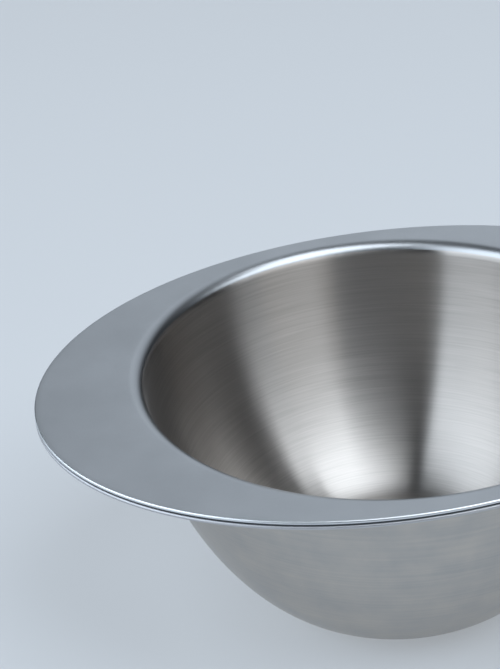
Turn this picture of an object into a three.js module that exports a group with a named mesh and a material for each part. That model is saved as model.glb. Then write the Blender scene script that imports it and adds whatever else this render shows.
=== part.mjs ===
// A double-walled baby bowl in pressed stainless steel, in millimetres, +Z up.
// The foot stands on z = 0, the basin is round about Z, and the oval brim is longest along X.
import * as THREE from "three";

// Brim and mouth
const brimLength = 160;
const brimWidth = 125;
const brimSide = 4; // flat of the brim beside the mouth, where it is narrowest
const lipRadius = 3.5; // round of the lip, on its upper face

// Basin, measured on its inside face
const basinDepth = 54;
const floorDiameter = 49;
const wallLean = 8; // degrees off upright, where the wall leaves the lip
const wallSweep = 35; // pull of the wall's curve away from the lip
const floorSweep = 6; // pull of the wall's curve into the flat floor

// Pressed sheets and the air space between them
const innerSheet = 0.8;
const outerSheet = 0.8;
const floorGap = 2; // air under the basin's floor

// Weld between the two brim sheets
const weldThickness = 0.4;
const weldWidth = 1.2;
const weldInset = 0.45; // how far the weld lies back from the edge

// Foot ring around the recessed middle of the base
const footRingWidth = 4;
const recessStep = 4; // width of the slope from the foot ring up to the recess
const recessHeight = 1;

// Facets around the bowl, and along the curves of a sheet's face
const facetsAround = 72;
const facetsOfLip = 6;
const facetsOfWall = 10;
const facetsOfStep = 4;
const facetsOfEdge = 6;

const brimTop = basinDepth + innerSheet + floorGap + outerSheet;
const halfWidth = brimWidth / 2;
const mouthRadius = halfWidth - brimSide; // where the flat brim starts to turn down into the basin
const floorRadius = floorDiameter / 2;
const lean = THREE.MathUtils.degToRad(wallLean);
const quarterTurn = Math.PI / 2;

const brimSteel = new THREE.MeshStandardMaterial({ color: 0xa9b0b6, roughness: 0.32, metalness: 1 });
const wallSteel = new THREE.MeshStandardMaterial({ color: 0x9c9c99, roughness: 0.42, metalness: 1 });
const weldSteel = new THREE.MeshStandardMaterial({ color: 0x4d5156, roughness: 0.55, metalness: 1 });

// A station is a point of a profile, with the direction out of the basin and square to the face there.
// spread runs from 0 at the brim to 1 at the floor, as the air space widens.
function stationsAlong(curve, steps, spreadAt) {
  const stations = [];
  for (let step = 0; step <= steps; step += 1) {
    const share = step / steps;
    const tangent = curve.getTangent(share);
    const point = curve.getPoint(share);
    const out = new THREE.Vector2(-tangent.y, tangent.x);
    stations.push({ point, out, spread: spreadAt(share) });
  }
  return stations;
}

// Stretches of a face end to end, with each shared point kept once.
function joined(...stretches) {
  return stretches.flatMap((stations, order) => (order === 0 ? stations : stations.slice(1)));
}

// A face moved along its own square direction, by a distance that may vary from brim to floor.
function movedOut(stations, distanceAt) {
  return stations.map((station) => ({
    ...station,
    point: station.point.clone().addScaledVector(station.out, distanceAt(station.spread)),
  }));
}

// The brim's flat, from a rounded edge of the given sheet in to the mouth.
function brimFlat(height, sheet) {
  const edge = new THREE.Vector2(halfWidth - sheet / 2, height);
  const mouth = new THREE.Vector2(mouthRadius, height);
  return stationsAlong(new THREE.LineCurve(edge, mouth), 1, () => 0);
}

// The lip and the wall of the basin, from the brim's flat down to the edge of the floor.
function basinWall() {
  const lipTurn = quarterTurn - lean;
  const lipCentre = brimTop - lipRadius;
  const lip = new THREE.EllipseCurve(
    mouthRadius, lipCentre, lipRadius, lipRadius, quarterTurn, quarterTurn + lipTurn, false, 0,
  );
  const wallTop = lip.getPoint(1);
  const downWall = new THREE.Vector2(-Math.sin(lean), -Math.cos(lean));
  const floorEdge = new THREE.Vector2(floorRadius, brimTop - basinDepth);
  const wall = new THREE.CubicBezierCurve(
    wallTop,
    wallTop.clone().addScaledVector(downWall, wallSweep),
    floorEdge.clone().add(new THREE.Vector2(floorSweep, 0)),
    floorEdge,
  );
  return joined(
    stationsAlong(lip, facetsOfLip, () => 0),
    stationsAlong(wall, facetsOfWall, (share) => THREE.MathUtils.smoothstep(share, 0, 1)),
  );
}

// The flat floor of the basin, in to the axis.
function basinFloor() {
  const height = brimTop - basinDepth;
  const floor = new THREE.LineCurve(
    new THREE.Vector2(floorRadius, height),
    new THREE.Vector2(0, height),
  );
  return stationsAlong(floor, 1, () => 1);
}

// The base: a flat ring to stand on, a soft step, and a recessed middle.
function baseFace() {
  const height = outerSheet;
  const stepOuter = new THREE.Vector2(floorRadius - footRingWidth, height);
  const stepInner = new THREE.Vector2(stepOuter.x - recessStep, height + recessHeight);
  const halfStep = new THREE.Vector2(recessStep / 2, 0);
  const ring = new THREE.LineCurve(new THREE.Vector2(floorRadius, height), stepOuter);
  const step = new THREE.CubicBezierCurve(
    stepOuter,
    stepOuter.clone().sub(halfStep),
    stepInner.clone().add(halfStep),
    stepInner,
  );
  const middle = new THREE.LineCurve(stepInner, new THREE.Vector2(0, stepInner.y));
  return joined(
    stationsAlong(ring, 1, () => 1),
    stationsAlong(step, facetsOfStep, () => 1),
    stationsAlong(middle, 1, () => 1),
  );
}

// The basin and everything inside mouthRadius stay round.
// Outside it the brim is drawn out along X, fully so from ovalRadius to its edge.
function drawnOut(geometry, roundRadius, ovalRadius) {
  const position = geometry.getAttribute("position");
  const reach = (brimLength - brimWidth) / 2;
  for (let corner = 0; corner < position.count; corner += 1) {
    const x = position.getX(corner);
    const radius = Math.hypot(x, position.getY(corner));
    const share = THREE.MathUtils.clamp((radius - roundRadius) / (ovalRadius - roundRadius), 0, 1);
    if (share > 0) {
      position.setX(corner, x + (reach * share * x) / radius);
    }
  }
  geometry.computeVertexNormals();
  return geometry;
}

// A profile in the upright plane, turned about Z.
function turned(outline) {
  return new THREE.LatheGeometry(outline, facetsAround).rotateX(quarterTurn);
}

// A pressed sheet: its upper face, the face one thickness below, and a half-round edge between them.
function pressedSheet(face, thickness) {
  const under = movedOut(face, () => thickness).reverse();
  const edgeRadius = thickness / 2;
  const edgeStart = face[0].point;
  const edge = new THREE.EllipseCurve(
    edgeStart.x, edgeStart.y - edgeRadius, edgeRadius, edgeRadius, -quarterTurn, quarterTurn, false, 0,
  );
  const outline = [
    ...under.map((station) => station.point),
    ...edge.getPoints(facetsOfEdge).slice(1, -1),
    ...face.map((station) => station.point),
  ];
  return drawnOut(turned(outline), mouthRadius, edgeStart.x);
}

function innerBowl() {
  const face = joined(brimFlat(brimTop, innerSheet), basinWall(), basinFloor());
  const bowl = new THREE.Mesh(pressedSheet(face, innerSheet), brimSteel);
  bowl.name = "inner_bowl";
  return bowl;
}

// The outer shell nests round the inner bowl, one weld away at the brim and one air space away below.
function outerShell() {
  const clear = (spread) => innerSheet + THREE.MathUtils.lerp(weldThickness, floorGap, spread);
  const brim = brimFlat(brimTop - innerSheet - weldThickness, outerSheet);
  const face = joined(brim, movedOut(basinWall(), clear), baseFace());
  const shell = new THREE.Mesh(pressedSheet(face, outerSheet), wallSteel);
  shell.name = "outer_shell";
  return shell;
}

// A flat ring of weld metal, face to face with both brim sheets.
function rimWeld() {
  const outerRadius = halfWidth - weldInset;
  const innerRadius = outerRadius - weldWidth;
  const top = brimTop - innerSheet;
  const bottom = top - weldThickness;
  const outline = [
    new THREE.Vector2(innerRadius, bottom),
    new THREE.Vector2(outerRadius, bottom),
    new THREE.Vector2(outerRadius, top),
    new THREE.Vector2(innerRadius, top),
    new THREE.Vector2(innerRadius, bottom),
  ];
  const weld = new THREE.Mesh(drawnOut(turned(outline), 0, innerRadius), weldSteel);
  weld.name = "rim_weld";
  return weld;
}

const babyBowl = new THREE.Group();
babyBowl.add(innerBowl(), outerShell(), rimWeld());

export default babyBowl;
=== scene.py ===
import math

import bmesh
import bpy
from mathutils import Matrix, Vector
from mathutils.geometry import interpolate_bezier


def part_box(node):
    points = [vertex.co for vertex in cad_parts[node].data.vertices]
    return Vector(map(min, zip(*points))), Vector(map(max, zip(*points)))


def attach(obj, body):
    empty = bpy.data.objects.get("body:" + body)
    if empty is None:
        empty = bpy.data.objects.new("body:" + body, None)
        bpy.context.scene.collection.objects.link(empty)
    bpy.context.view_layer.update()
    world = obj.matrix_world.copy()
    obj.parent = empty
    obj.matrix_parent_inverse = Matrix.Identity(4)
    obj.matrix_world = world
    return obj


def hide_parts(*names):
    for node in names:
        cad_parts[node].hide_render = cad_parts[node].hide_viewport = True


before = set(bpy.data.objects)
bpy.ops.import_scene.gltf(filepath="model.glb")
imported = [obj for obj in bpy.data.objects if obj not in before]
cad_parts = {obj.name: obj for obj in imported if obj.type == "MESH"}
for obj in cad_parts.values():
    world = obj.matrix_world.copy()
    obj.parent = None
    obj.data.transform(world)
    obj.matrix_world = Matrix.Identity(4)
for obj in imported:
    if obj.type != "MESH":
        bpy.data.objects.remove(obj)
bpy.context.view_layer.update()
mm = 0.001
quarterTurn = math.pi / 2
fullTurn = 2 * math.pi
print("frame loaded, nodes:", ", ".join(sorted(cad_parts)))

# the brim's reach and height come from the frame
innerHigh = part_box("inner_bowl")[1]
brimTop = innerHigh.z
halfLength = innerHigh.x
halfWidth = innerHigh.y

# curve of the basin, shared by both sheets, in mm
basin = {
    "brimSide": 4.0,          # flat of the brim beside the mouth
    "brimRing": 0.6,          # in from the edge, where the brim is flat again
    "lipRadius": 3.5,
    "depth": 54.0,
    "floorRadius": 24.5,
    "wallLean": 8.0,          # degrees off upright, under the lip
    "wallSweep": 35.0,        # pull of the wall's curve away from the lip
    "floorSweep": 6.0,        # and its pull into the flat floor
    "lipSteps": 14,
    "wallSteps": 48,
    "floorRings": 8,
    "turnSteps": 256,
    "mergeDistance": 0.0001,
    "axisRadius": 0.01,       # a corner this close to the axis has no turn of its own
}
mouthRadius = halfWidth - basin["brimSide"] * mm
floorRadius = basin["floorRadius"] * mm
basinFloor = brimTop - basin["depth"] * mm

# cut edge of a pressed sheet
cutEdge = {
    "sharpness": 60.0,  # degrees between its faces
    "round": 0.49,      # of the sheet's thickness, just short of a half round
    "segments": 6,
}


def linear(hexColour):
    # sRGB hex to the linear colour that the shaders take
    channels = [int(hexColour[i:i + 2], 16) / 255 for i in (1, 3, 5)]
    return [c / 12.92 if c <= 0.04045 else ((c + 0.055) / 1.055) ** 2.4 for c in channels] + [1.0]


def addNode(tree, kind, settings=None, links=None):
    # one node, its settings by attribute or socket, and what feeds its sockets
    # a Mix node's share is socket 0, its numbers are 2 and 3, and its colours 6 and 7
    node = tree.nodes.new(kind)
    for key, value in (settings or {}).items():
        if isinstance(key, str) and hasattr(node, key):
            setattr(node, key, value)
        else:
            node.inputs[key].default_value = value
    for key, source in (links or {}).items():
        tree.links.new(source, node.inputs[key])
    return node


def newMaterial(name):
    material = bpy.data.materials.new(name)
    material.use_nodes = True
    material.node_tree.nodes.clear()
    return material, material.node_tree


def wallStations():
    # profile of the lip and wall: point, direction out of the basin, and how far down it lies
    lean = math.radians(basin["wallLean"])
    lipRadius = basin["lipRadius"] * mm
    lipCentre = Vector((mouthRadius, brimTop - lipRadius))
    stations = []
    for step in range(basin["lipSteps"] + 1):
        angle = quarterTurn + (quarterTurn - lean) * step / basin["lipSteps"]
        outward = -Vector((math.cos(angle), math.sin(angle)))
        stations.append((lipCentre - outward * lipRadius, outward, 0.0))
    wallTop = stations[-1][0]
    wallHandle = wallTop - Vector((math.sin(lean), math.cos(lean))) * basin["wallSweep"] * mm
    floorEdge = Vector((floorRadius, basinFloor))
    floorHandle = floorEdge + Vector((basin["floorSweep"] * mm, 0))
    wall = interpolate_bezier(wallTop, wallHandle, floorHandle, floorEdge, basin["wallSteps"] + 1)
    for step in range(1, len(wall)):
        ahead = wall[min(step + 1, len(wall) - 1)]
        along = (ahead - wall[step - 1]).normalized()
        if step == len(wall) - 1:
            along = Vector((-1, 0))  # level with the floor
        share = step / basin["wallSteps"]
        eased = share * share * (3 - 2 * share)
        stations.append((wall[step], Vector((-along.y, along.x)), eased))
    return stations


def flatRings(fromRadius, height, rings):
    # rings of a flat disc, in to the axis
    return [Vector((fromRadius * (1 - step / rings), height)) for step in range(1, rings + 1)]


def brimRings(height):
    # the flat of the brim, with a ring close to each end so that its shading stays flat
    close = basin["brimRing"] * mm
    radii = (halfWidth, halfWidth - close, mouthRadius + close / 2)
    return [Vector((radius, height)) for radius in radii]


def turned(wire, closed=False):
    # a profile in the upright plane, spun about Z
    bm = bmesh.new()
    verts = [bm.verts.new((point.x, 0, point.y)) for point in wire]
    ends = verts[1:] + verts[:1] if closed else verts[1:]
    for start, end in zip(verts, ends):
        bm.edges.new((start, end))
    bmesh.ops.spin(bm, geom=bm.verts[:] + bm.edges[:], cent=(0, 0, 0), axis=(0, 0, 1),
                   angle=fullTurn, steps=basin["turnSteps"], use_merge=True)
    bmesh.ops.remove_doubles(bm, verts=bm.verts[:], dist=basin["mergeDistance"] * mm)
    bmesh.ops.recalc_face_normals(bm, faces=bm.faces[:])
    return bm


def pressed(bm, sheet):
    # gives the spun face the sheet's thickness below it, and rounds the cut edge of the brim
    brimFace = max(bm.faces, key=lambda face: face.calc_center_median().xy.length)
    if brimFace.normal.z < 0:
        bmesh.ops.reverse_faces(bm, faces=bm.faces[:])
    bmesh.ops.solidify(bm, geom=bm.faces[:], thickness=sheet * mm)
    sharp = math.radians(cutEdge["sharpness"])
    cutEdges = [edge for edge in bm.edges if edge.calc_face_angle(0) > sharp]
    bmesh.ops.bevel(bm, geom=cutEdges, offset=cutEdge["round"] * sheet * mm, offset_type="OFFSET",
                    segments=cutEdge["segments"], profile=0.5, affect="EDGES",
                    clamp_overlap=True, material=-1)


def layBrushUv(bm):
    # U runs round the bowl and V along its profile, both in metres
    layer = bm.loops.layers.uv.new("brushUv")
    for face in bm.faces:
        middle = face.calc_center_median()
        faceAngle = math.atan2(middle.y, middle.x)
        for loop in face.loops:
            spot = loop.vert.co
            radius = spot.xy.length
            turn = 0.0
            if radius > basin["axisRadius"] * mm:
                turn = math.remainder(math.atan2(spot.y, spot.x) - faceAngle, fullTurn)
            loop[layer].uv = ((faceAngle + turn) * mouthRadius, radius + spot.z)


def drawnOut(bm, roundRadius, ovalRadius):
    # the brim is drawn out along X into an oval, and all inside the mouth stays round
    reach = halfLength - halfWidth
    for vert in bm.verts:
        radius = vert.co.xy.length
        share = min(max((radius - roundRadius) / (ovalRadius - roundRadius), 0), 1)
        if share > 0:
            vert.co.x += reach * share * vert.co.x / radius


def finished(bm, name, materials):
    mesh = bpy.data.meshes.new(name)
    for face in bm.faces:
        face.smooth = True
    bm.to_mesh(mesh)
    bm.free()
    for material in materials:
        mesh.materials.append(material)
    piece = bpy.data.objects.new(name, mesh)
    bpy.context.scene.collection.objects.link(piece)
    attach(piece, "root")
    print(name, "made,", len(mesh.polygons), "faces")
    return piece


# most of a noise's values lie between these
noiseLow = 0.3
noiseHigh = 0.7

# stainless steel, blasted to an even satin: soft grey reflections with a very fine sparkle,
# and sharper ones down the lip, which the press rubs smoother, darker partly from the dim room they
# show and partly from painted shade in the lip's colour, which also dims its highlight
satin = {
    "tint": "#c2c5c8",
    "darkTint": "#babdc0",
    "roughness": 0.44,
    "roughnessSwing": 0.03,
    # painted shade: the lip's darker colour, which dims its highlight and deepens its dark band
    "lipShadeTint": "#adb0b3",
    "lipRoughness": 0.32,
    "lipBlend": 2.5,        # mm down the lip, where it is smoothest
    "grain": 0.35,          # mm, drawn coarser than the real 0.05 mm blast so that it shows
    "grainDetail": 3.0,
    "grainDepth": 0.02,     # mm
    "grainStrength": 0.05,
    "cloud": 14.0,          # mm, slow unevenness of the sheet
    "cloudDetail": 4.0,
}


def satinSteel():
    material, tree = newMaterial("stainless steel, satin blasted")
    place = addNode(tree, "ShaderNodeTexCoord")
    grain = addNode(tree, "ShaderNodeTexNoise",
                    {"Scale": 1 / (satin["grain"] * mm), "Detail": satin["grainDetail"]},
                    {"Vector": place.outputs["Object"]})
    cloud = addNode(tree, "ShaderNodeTexNoise",
                    {"Scale": 1 / (satin["cloud"] * mm), "Detail": satin["cloudDetail"]},
                    {"Vector": place.outputs["Object"]})
    patch = addNode(tree, "ShaderNodeMapRange", {"From Min": noiseLow, "From Max": noiseHigh},
                    {"Value": cloud.outputs["Fac"]})
    tint = addNode(tree, "ShaderNodeMix",
                   {"data_type": "RGBA", 6: linear(satin["darkTint"]), 7: linear(satin["tint"])},
                   {0: patch.outputs[0]})
    # blasted is 1 on the brim and falls to 0 down the lip, as V does, where it also brings in the lip's
    # painted shade
    uv = addNode(tree, "ShaderNodeUVMap", {"uv_map": "brushUv"})
    down = addNode(tree, "ShaderNodeSeparateXYZ", {}, {0: uv.outputs[0]})
    lipStart = mouthRadius + brimTop
    lipEnd = lipStart - satin["lipBlend"] * mm
    blasted = addNode(tree, "ShaderNodeMapRange",
                      {"interpolation_type": "SMOOTHSTEP", "From Min": lipEnd, "From Max": lipStart},
                      {"Value": down.outputs["Y"]})
    # down the lip the colour turns to the lip's painted shade
    colour = addNode(tree, "ShaderNodeMix", {"data_type": "RGBA", 6: linear(satin["lipShadeTint"])},
                     {0: blasted.outputs[0], 7: tint.outputs[2]})
    base = addNode(tree, "ShaderNodeMapRange",
                   {"To Min": satin["lipRoughness"], "To Max": satin["roughness"]},
                   {"Value": blasted.outputs[0]})
    swing = addNode(tree, "ShaderNodeMapRange",
                    {"From Min": noiseLow, "From Max": noiseHigh,
                     "To Min": -satin["roughnessSwing"], "To Max": satin["roughnessSwing"]},
                    {"Value": grain.outputs["Fac"]})
    rough = addNode(tree, "ShaderNodeMath", {"operation": "MULTIPLY_ADD"},
                    {0: swing.outputs[0], 1: blasted.outputs[0], 2: base.outputs[0]})
    pitted = addNode(tree, "ShaderNodeMath", {"operation": "MULTIPLY", 1: satin["grainStrength"]},
                     {0: blasted.outputs[0]})
    bump = addNode(tree, "ShaderNodeBump", {"Distance": satin["grainDepth"] * mm},
                   {"Strength": pitted.outputs[0], "Height": grain.outputs["Fac"]})
    steel = addNode(tree, "ShaderNodeBsdfPrincipled", {"Metallic": 1.0},
                    {"Base Color": colour.outputs[2], "Roughness": rough.outputs[0],
                     "Normal": bump.outputs[0]})
    addNode(tree, "ShaderNodeOutputMaterial", {}, {"Surface": steel.outputs[0]})
    return material


# stainless steel, brushed on a lathe: fine lines run round the basin,
# and smear reflections up and down it
brushed = {
    "tint": "#c0bcb8",
    "darkTint": "#aba7a3",
    "roughness": 0.3,
    "roughnessSwing": 0.02,
    "anisotropy": 1.0,
    "smearTurn": 0.25,      # of a turn, so that the smear lies across the lines
    "lineWidth": 0.55,      # mm, drawn coarser than the real 0.1 mm scratch so that it shows
    "lineLength": 24.0,     # mm
    "lineDetail": 1.5,
    "lineDepth": 0.02,      # mm
    "lineStrength": 0.02,
    "bandWidth": 4.0,       # mm, passes of the brush that bit a little more or less
    "bandLength": 70.0,     # mm
    "bandDetail": 2.0,
    "bandShare": 0.35,      # of the pattern, and the lines are the rest
    "biteLow": 0.25,
    "biteHigh": 0.75,
}


def brushedSteel():
    material, tree = newMaterial("stainless steel, lathe brushed")
    uv = addNode(tree, "ShaderNodeUVMap", {"uv_map": "brushUv"})
    fine = addNode(tree, "ShaderNodeMapping",
                   {"Scale": (1 / (brushed["lineLength"] * mm), 1 / (brushed["lineWidth"] * mm), 1.0)},
                   {"Vector": uv.outputs[0]})
    lines = addNode(tree, "ShaderNodeTexNoise", {"Scale": 1.0, "Detail": brushed["lineDetail"]},
                    {"Vector": fine.outputs[0]})
    broad = addNode(tree, "ShaderNodeMapping",
                    {"Scale": (1 / (brushed["bandLength"] * mm), 1 / (brushed["bandWidth"] * mm), 1.0)},
                    {"Vector": uv.outputs[0]})
    bands = addNode(tree, "ShaderNodeTexNoise", {"Scale": 1.0, "Detail": brushed["bandDetail"]},
                    {"Vector": broad.outputs[0]})
    blend = addNode(tree, "ShaderNodeMix", {"data_type": "FLOAT", 0: brushed["bandShare"]},
                    {2: lines.outputs["Fac"], 3: bands.outputs["Fac"]})
    bite = addNode(tree, "ShaderNodeMapRange",
                   {"From Min": brushed["biteLow"], "From Max": brushed["biteHigh"]},
                   {"Value": blend.outputs[0]})
    tint = addNode(tree, "ShaderNodeMix",
                   {"data_type": "RGBA", 6: linear(brushed["darkTint"]), 7: linear(brushed["tint"])},
                   {0: bite.outputs[0]})
    rough = addNode(tree, "ShaderNodeMapRange",
                    {"To Min": brushed["roughness"] - brushed["roughnessSwing"],
                     "To Max": brushed["roughness"] + brushed["roughnessSwing"]},
                    {"Value": bite.outputs[0]})
    bump = addNode(tree, "ShaderNodeBump",
                   {"Strength": brushed["lineStrength"], "Distance": brushed["lineDepth"] * mm},
                   {"Height": lines.outputs["Fac"]})
    tangent = addNode(tree, "ShaderNodeTangent", {"direction_type": "UV_MAP", "uv_map": "brushUv"})
    steel = addNode(tree, "ShaderNodeBsdfPrincipled",
                    {"Metallic": 1.0, "Anisotropic": brushed["anisotropy"],
                     "Anisotropic Rotation": brushed["smearTurn"]},
                    {"Base Color": tint.outputs[2], "Roughness": rough.outputs[0],
                     "Normal": bump.outputs[0], "Tangent": tangent.outputs[0]})
    addNode(tree, "ShaderNodeOutputMaterial", {}, {"Surface": steel.outputs[0]})
    return material


# stainless steel, cut edges rubbed smooth: a thin bright line above, and a softer one below
upperEdge = {"finish": "polished edge", "tint": "#dde1e4", "roughness": 0.34}
lowerEdge = {"finish": "softly polished edge", "tint": "#bfc0c4", "roughness": 0.46}
edgeWear = {
    "size": 4.0,       # mm
    "detail": 3.0,
    "smoother": 0.03,  # how far wear takes the roughness down
    "rougher": 0.05,   # and up
}


def edgeSteel(edge):
    material, tree = newMaterial("stainless steel, " + edge["finish"])
    place = addNode(tree, "ShaderNodeTexCoord")
    wear = addNode(tree, "ShaderNodeTexNoise",
                   {"Scale": 1 / (edgeWear["size"] * mm), "Detail": edgeWear["detail"]},
                   {"Vector": place.outputs["Object"]})
    rough = addNode(tree, "ShaderNodeMapRange",
                    {"From Min": noiseLow, "From Max": noiseHigh,
                     "To Min": edge["roughness"] - edgeWear["smoother"],
                     "To Max": edge["roughness"] + edgeWear["rougher"]},
                    {"Value": wear.outputs["Fac"]})
    steel = addNode(tree, "ShaderNodeBsdfPrincipled",
                    {"Metallic": 1.0, "Base Color": linear(edge["tint"])},
                    {"Roughness": rough.outputs[0]})
    addNode(tree, "ShaderNodeOutputMaterial", {}, {"Surface": steel.outputs[0]})
    return material


# stainless steel, satin outside: like the brim, with faint warm and cool patches
# and hairlines that run round it
outside = {
    "tint": "#c2bdb6",
    "darkTint": "#abaaa9",
    "roughness": 0.4,
    "roughnessSwing": 0.04,
    "cloud": 7.0,           # mm
    "cloudDetail": 4.0,
    "lineWidth": 0.9,       # mm, drawn coarser than the real 0.1 mm scratch so that it shows
    "lineLength": 40.0,     # mm
    "lineDetail": 3.0,
    "lineShare": 0.45,      # of the pattern, and the patches are the rest
}


def satinOutside():
    material, tree = newMaterial("stainless steel, satin outside")
    place = addNode(tree, "ShaderNodeTexCoord")
    cloud = addNode(tree, "ShaderNodeTexNoise",
                    {"Scale": 1 / (outside["cloud"] * mm), "Detail": outside["cloudDetail"]},
                    {"Vector": place.outputs["Object"]})
    uv = addNode(tree, "ShaderNodeUVMap", {"uv_map": "brushUv"})
    fine = addNode(tree, "ShaderNodeMapping",
                   {"Scale": (1 / (outside["lineLength"] * mm), 1 / (outside["lineWidth"] * mm), 1.0)},
                   {"Vector": uv.outputs[0]})
    lines = addNode(tree, "ShaderNodeTexNoise", {"Scale": 1.0, "Detail": outside["lineDetail"]},
                    {"Vector": fine.outputs[0]})
    blend = addNode(tree, "ShaderNodeMix", {"data_type": "FLOAT", 0: outside["lineShare"]},
                    {2: cloud.outputs["Fac"], 3: lines.outputs["Fac"]})
    patch = addNode(tree, "ShaderNodeMapRange", {"From Min": noiseLow, "From Max": noiseHigh},
                    {"Value": blend.outputs[0]})
    tint = addNode(tree, "ShaderNodeMix",
                   {"data_type": "RGBA", 6: linear(outside["darkTint"]), 7: linear(outside["tint"])},
                   {0: patch.outputs[0]})
    rough = addNode(tree, "ShaderNodeMapRange",
                    {"To Min": outside["roughness"] - outside["roughnessSwing"],
                     "To Max": outside["roughness"] + outside["roughnessSwing"]},
                    {"Value": patch.outputs[0]})
    steel = addNode(tree, "ShaderNodeBsdfPrincipled", {"Metallic": 1.0},
                    {"Base Color": tint.outputs[2], "Roughness": rough.outputs[0]})
    addNode(tree, "ShaderNodeOutputMaterial", {}, {"Surface": steel.outputs[0]})
    return material


# weld metal, left as it cooled: dull dark grey, faintly rippled
weld = {
    "tint": "#7a7e83",
    "darkTint": "#565a5f",
    "roughness": 0.55,
    "ripple": 0.8,          # mm
    "rippleDetail": 2.0,
}


def dullWeld():
    material, tree = newMaterial("weld metal, as cooled")
    place = addNode(tree, "ShaderNodeTexCoord")
    ripple = addNode(tree, "ShaderNodeTexNoise",
                     {"Scale": 1 / (weld["ripple"] * mm), "Detail": weld["rippleDetail"]},
                     {"Vector": place.outputs["Object"]})
    tint = addNode(tree, "ShaderNodeMix",
                   {"data_type": "RGBA", 6: linear(weld["darkTint"]), 7: linear(weld["tint"])},
                   {0: ripple.outputs["Fac"]})
    steel = addNode(tree, "ShaderNodeBsdfPrincipled",
                    {"Metallic": 1.0, "Roughness": weld["roughness"]},
                    {"Base Color": tint.outputs[2]})
    addNode(tree, "ShaderNodeOutputMaterial", {}, {"Surface": steel.outputs[0]})
    return material


# the upper sheet: brim, lip and basin
innerBowl = {
    "sheet": 0.8,        # mm
    "brushStart": 60.0,  # degrees round the lip, where the brush lines begin
}


def makeInnerBowl():
    wire = brimRings(brimTop)
    wire += [station[0] for station in wallStations()]
    wire += flatRings(floorRadius, basinFloor, basin["floorRings"])
    bm = turned(wire)
    pressed(bm, innerBowl["sheet"])
    layBrushUv(bm)
    edgeStart = halfWidth - innerBowl["sheet"] / 2 * mm
    lipDrop = 1 - math.cos(math.radians(innerBowl["brushStart"]))
    brushTop = brimTop - basin["lipRadius"] * mm * lipDrop
    for face in bm.faces:
        middle = face.calc_center_median()
        if middle.xy.length > edgeStart:
            face.material_index = 2  # polished edge
        elif middle.z < brushTop:
            face.material_index = 1  # brushed basin
    drawnOut(bm, mouthRadius, edgeStart)
    finishes = [satinSteel(), brushedSteel(), edgeSteel(upperEdge)]
    piece = finished(bm, "innerBowl", finishes)
    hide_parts("inner_bowl")


makeInnerBowl()

# the lower sheet: underside of the brim, outer wall and base, in mm
outerShell = {
    "sheet": 0.8,
    "seam": 0.4,           # between the sheets at the brim
    "floorGap": 2.0,       # air under the basin's floor
    "footRingWidth": 4.0,
    "recessStep": 4.0,     # width of the slope from the foot ring up to the recess
    "recessHeight": 1.0,
    "stepSteps": 10,
    "recessRings": 6,
}


def makeOuterShell():
    sheet = outerShell["sheet"] * mm
    upper = innerBowl["sheet"] * mm
    seam = outerShell["seam"] * mm
    gap = outerShell["floorGap"] * mm
    wire = brimRings(brimTop - upper - seam)
    for point, outward, spread in wallStations():
        wire.append(point + outward * (upper + seam + (gap - seam) * spread))
    ringInner = Vector((floorRadius - outerShell["footRingWidth"] * mm, sheet))
    recessEdge = ringInner + Vector((-outerShell["recessStep"] * mm, outerShell["recessHeight"] * mm))
    soft = Vector((outerShell["recessStep"] / 2 * mm, 0))
    wire += interpolate_bezier(ringInner, ringInner - soft, recessEdge + soft, recessEdge,
                               outerShell["stepSteps"])
    wire += flatRings(recessEdge.x, recessEdge.y, outerShell["recessRings"])
    bm = turned(wire)
    pressed(bm, outerShell["sheet"])
    layBrushUv(bm)
    edgeStart = halfWidth - sheet / 2
    for face in bm.faces:
        if face.calc_center_median().xy.length > edgeStart:
            face.material_index = 1  # polished edge
    drawnOut(bm, mouthRadius, edgeStart)
    piece = finished(bm, "outerShell", [satinOutside(), edgeSteel(lowerEdge)])
    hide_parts("outer_shell")


makeOuterShell()

# the seam of weld metal between the two sheets, set back from their edges, in mm
rimWeld = {"inset": 0.45, "width": 1.2}


def makeRimWeld():
    outer = halfWidth - rimWeld["inset"] * mm
    inner = outer - rimWeld["width"] * mm
    top = brimTop - innerBowl["sheet"] * mm
    bottom = top - outerShell["seam"] * mm
    corners = [(inner, bottom), (outer, bottom), (outer, top), (inner, top)]
    bm = turned([Vector(corner) for corner in corners], closed=True)
    drawnOut(bm, 0, inner)
    piece = finished(bm, "rimWeld", [dullWeld()])
    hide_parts("rim_weld")


makeRimWeld()

# camera, matched to the brim and mouth in the picture, with angles in degrees
camera = {
    "distance": 0.44707,   # m from the middle of the brim's upper face
    "azimuth": -18.741,
    "elevation": 29.773,
    "yaw": -3.961,
    "pitch": 0.766,
    "roll": -4.723,
    "lens": 107.62,        # mm
    "sensor": 36,          # mm
}


def around(azimuth, elevation):
    # unit direction from the bowl, with azimuth 0 in front and rising to the right
    a = math.radians(azimuth)
    e = math.radians(elevation)
    return Vector((math.sin(a) * math.cos(e), -math.cos(a) * math.cos(e), math.sin(e)))


def makeCamera():
    data = bpy.data.cameras.new("camera")
    data.lens = camera["lens"]
    data.sensor_width = camera["sensor"]
    eye = bpy.data.objects.new("camera", data)
    back = around(camera["azimuth"], camera["elevation"])
    right = Vector((0, 0, 1)).cross(back).normalized()
    up = back.cross(right)
    yaw = math.radians(camera["yaw"])
    pitch = math.radians(camera["pitch"])
    ahead = (-back * math.cos(yaw) * math.cos(pitch)
             + right * math.sin(yaw) * math.cos(pitch)
             + up * math.sin(pitch))
    level = ahead.cross(Vector((0, 0, 1))).normalized()
    upright = level.cross(ahead)
    roll = Matrix.Rotation(math.radians(camera["roll"]), 3, "Z")
    aim = Matrix((level, upright, -ahead)).transposed() @ roll
    spot = Vector((0, 0, brimTop)) + back * camera["distance"]
    eye.matrix_world = Matrix.Translation(spot) @ aim.to_4x4()
    bpy.context.scene.collection.objects.link(eye)
    bpy.context.scene.camera = eye


makeCamera()
print("camera set")

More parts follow.
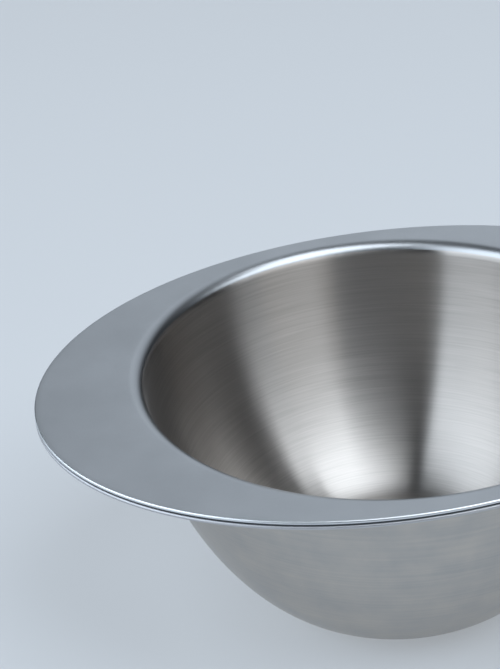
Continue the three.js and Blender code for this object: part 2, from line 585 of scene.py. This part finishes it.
# softboxes, in m and degrees: azimuth from the camera and to its right, reach along the floor,
# height of the middle above it, and the direction that each one faces away from
softboxes = {
    "windowBox": {"azimuth": -73, "reach": 1.1, "height": 1.45, "faceAzimuth": -73, "faceElevation": 0,
                  "width": 2.2, "length": 1.7, "radiance": 2.15, "tint": "#e9f4ff"},
    "sillBox": {"azimuth": -73, "reach": 1.1, "height": 0.35, "faceAzimuth": -73, "faceElevation": 0,
                "width": 2.2, "length": 0.5, "radiance": 1.3, "tint": "#e9f4ff"},
    "overheadBox": {"azimuth": 54, "reach": 0.7, "height": 1.05, "faceAzimuth": 50, "faceElevation": 89,
                    "width": 0.8, "length": 1.3, "radiance": 2.65, "tint": "#eff7ff"},
    "sideBox": {"azimuth": 79.5, "reach": 1.3, "height": 1.05, "faceAzimuth": 50, "faceElevation": 89,
                "width": 0.36, "length": 0.8, "radiance": 2.9, "tint": "#eff7ff"},
    "fillCard": {"azimuth": 44, "reach": 1.2, "height": 0.34, "faceAzimuth": 44, "faceElevation": 0,
                 "width": 0.8, "length": 0.62, "radiance": 0.32, "tint": "#fff0e0"},
}
wattsPerRadiance = 4  # for each square metre of an area lamp


def makeSoftbox(name, box):
    data = bpy.data.lights.new(name, "AREA")
    data.shape = "RECTANGLE"
    data.size = box["width"]
    data.size_y = box["length"]
    data.energy = wattsPerRadiance * box["radiance"] * box["width"] * box["length"]
    data.color = linear(box["tint"])[:3]
    lamp = bpy.data.objects.new(name, data)
    stand = around(camera["azimuth"] + box["azimuth"], 0) * box["reach"]
    lamp.location = stand + Vector((0, 0, box["height"]))
    away = around(camera["azimuth"] + box["faceAzimuth"], box["faceElevation"])
    lamp.rotation_euler = away.to_track_quat("Z", "Y").to_euler()
    lamp.visible_camera = False
    bpy.context.scene.collection.objects.link(lamp)


for boxName, softbox in softboxes.items():
    makeSoftbox(boxName, softbox)

# a dim room with a pale backdrop behind the bowl, and a pale table
room = {
    "roomTint": "#1a1d22",
    "backdropTint": "#dce5ef",
    "backdropAzimuth": 170,
    "backdropElevation": 31,
    "backdropFull": 4,       # degrees from its middle where the backdrop starts to fade
    "backdropEnd": 37,       # and where it ends
    "tableTint": "#d2d8de",
    "tableGlow": 0.45,       # share of the table's look that is lit evenly, as a light table is
    "tableRadius": 9.0,      # m
    "tableSides": 64,
    "tableDrop": 0.05,       # mm under the foot ring, so that the two faces stay apart
}


def makeWorld():
    world = bpy.data.worlds.new("room")
    bpy.context.scene.world = world
    world.use_nodes = True
    tree = world.node_tree
    tree.nodes.clear()
    place = addNode(tree, "ShaderNodeTexCoord")
    backdrop = around(camera["azimuth"] + room["backdropAzimuth"], room["backdropElevation"])
    near = addNode(tree, "ShaderNodeVectorMath", {"operation": "DOT_PRODUCT", 1: backdrop},
                   {0: place.outputs["Generated"]})
    share = addNode(tree, "ShaderNodeMapRange",
                    {"interpolation_type": "SMOOTHSTEP",
                     "From Min": math.cos(math.radians(room["backdropEnd"])),
                     "From Max": math.cos(math.radians(room["backdropFull"]))},
                    {"Value": near.outputs["Value"]})
    tint = addNode(tree, "ShaderNodeMix",
                   {"data_type": "RGBA", 6: linear(room["roomTint"]), 7: linear(room["backdropTint"])},
                   {0: share.outputs[0]})
    sky = addNode(tree, "ShaderNodeBackground", {}, {"Color": tint.outputs[2]})
    addNode(tree, "ShaderNodeOutputWorld", {}, {"Surface": sky.outputs[0]})


def makeTable():
    bm = bmesh.new()
    bmesh.ops.create_circle(bm, cap_ends=True, segments=room["tableSides"], radius=room["tableRadius"])
    bmesh.ops.translate(bm, verts=bm.verts[:], vec=(0, 0, -room["tableDrop"] * mm))
    mesh = bpy.data.meshes.new("table")
    bm.to_mesh(mesh)
    bm.free()
    table = bpy.data.objects.new("table", mesh)
    bpy.context.scene.collection.objects.link(table)
    material, tree = newMaterial("acrylic sheet, matt, lit from below")
    paint = addNode(tree, "ShaderNodeBsdfDiffuse", {"Color": linear(room["tableTint"])})
    glow = addNode(tree, "ShaderNodeEmission", {"Color": linear(room["tableTint"])})
    # the glow shows to the eye and in the steel, and adds no light to the bowl's shadow
    path = addNode(tree, "ShaderNodeLightPath")
    seen = addNode(tree, "ShaderNodeMath", {"operation": "ADD"},
                   {0: path.outputs["Is Camera Ray"], 1: path.outputs["Is Glossy Ray"]})
    shown = addNode(tree, "ShaderNodeMath", {"operation": "ADD", "use_clamp": True},
                    {0: seen.outputs[0], 1: path.outputs["Is Transmission Ray"]})
    share = addNode(tree, "ShaderNodeMath", {"operation": "MULTIPLY", 1: room["tableGlow"]},
                    {0: shown.outputs[0]})
    lit = addNode(tree, "ShaderNodeMixShader", {},
                  {0: share.outputs[0], 1: paint.outputs[0], 2: glow.outputs[0]})
    # from below, the table lets the base show
    clear = addNode(tree, "ShaderNodeBsdfTransparent")
    facing = addNode(tree, "ShaderNodeNewGeometry")
    both = addNode(tree, "ShaderNodeMixShader", {},
                   {0: facing.outputs["Backfacing"], 1: lit.outputs[0], 2: clear.outputs[0]})
    addNode(tree, "ShaderNodeOutputMaterial", {}, {"Surface": both.outputs[0]})
    mesh.materials.append(material)


makeWorld()
makeTable()
print("room and softboxes set")

bpy.context.scene.view_settings.view_transform = "Standard"
